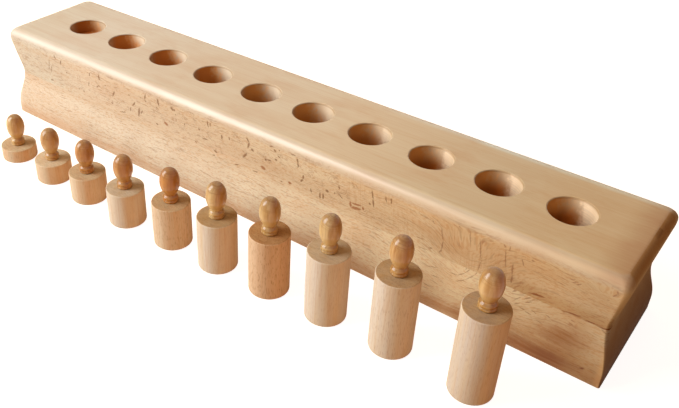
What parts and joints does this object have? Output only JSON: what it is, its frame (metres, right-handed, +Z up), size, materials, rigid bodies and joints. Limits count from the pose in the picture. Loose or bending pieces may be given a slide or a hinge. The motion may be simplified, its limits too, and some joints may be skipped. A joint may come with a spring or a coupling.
{
  "type": "knobbed cylinder block",
  "caption": "Long waisted beech block with a row of round sockets of growing depth, and the loose knobbed cylinders that fit them standing in front of it.",
  "frame": {"origin": "middle of the block's underside, on the surface that everything stands on", "axes": "+X along the block towards its deepest socket, +Y from the loose cylinders towards the block's back, +Z up out of the sockets"},
  "size_m": [0.4792, 0.1434, 0.0807],
  "materials": {
    "board_beech": "clear satin lacquer over pale beech",
    "lower_board_beech": "clear satin lacquer over a slightly warmer beech board",
    "plain_beech": "sanded bare beech with upright grain",
    "knob_beech": "turned beech under glossy honey lacquer"
  },
  "bodies": {
    "block": {"block_upper_board": "board_beech", "block_lower_board": "lower_board_beech"},
    "loose_cylinder_01": {"cylinder_01": "plain_beech", "knob_01": "knob_beech"},
    "loose_cylinder_02": {"cylinder_02": "plain_beech", "knob_02": "knob_beech"},
    "loose_cylinder_03": {"cylinder_03": "plain_beech", "knob_03": "knob_beech"},
    "loose_cylinder_04": {"cylinder_04": "plain_beech", "knob_04": "knob_beech"},
    "loose_cylinder_05": {"cylinder_05": "plain_beech", "knob_05": "knob_beech"},
    "loose_cylinder_06": {"cylinder_06": "plain_beech", "knob_06": "knob_beech"},
    "loose_cylinder_07": {"cylinder_07": "plain_beech", "knob_07": "knob_beech"},
    "loose_cylinder_08": {"cylinder_08": "plain_beech", "knob_08": "knob_beech"},
    "loose_cylinder_09": {"cylinder_09": "plain_beech", "knob_09": "knob_beech"},
    "loose_cylinder_10": {"cylinder_10": "plain_beech", "knob_10": "knob_beech"}
  },
  "joints": [
    {"name": "lift_01", "type": "slide", "parent": "block", "child": "loose_cylinder_01", "axis": [0, 0, 1], "range_m": [0, 0.08]},
    {"name": "lift_02", "type": "slide", "parent": "block", "child": "loose_cylinder_02", "axis": [0, 0, 1], "range_m": [0, 0.08]},
    {"name": "lift_03", "type": "slide", "parent": "block", "child": "loose_cylinder_03", "axis": [0, 0, 1], "range_m": [0, 0.08]},
    {"name": "lift_04", "type": "slide", "parent": "block", "child": "loose_cylinder_04", "axis": [0, 0, 1], "range_m": [0, 0.08]},
    {"name": "lift_05", "type": "slide", "parent": "block", "child": "loose_cylinder_05", "axis": [0, 0, 1], "range_m": [0, 0.08]},
    {"name": "lift_06", "type": "slide", "parent": "block", "child": "loose_cylinder_06", "axis": [0, 0, 1], "range_m": [0, 0.08]},
    {"name": "lift_07", "type": "slide", "parent": "block", "child": "loose_cylinder_07", "axis": [0, 0, 1], "range_m": [0, 0.08]},
    {"name": "lift_08", "type": "slide", "parent": "block", "child": "loose_cylinder_08", "axis": [0, 0, 1], "range_m": [0, 0.08]},
    {"name": "lift_09", "type": "slide", "parent": "block", "child": "loose_cylinder_09", "axis": [0, 0, 1], "range_m": [0, 0.08]},
    {"name": "lift_10", "type": "slide", "parent": "block", "child": "loose_cylinder_10", "axis": [0, 0, 1], "range_m": [0, 0.08]}
  ]
}
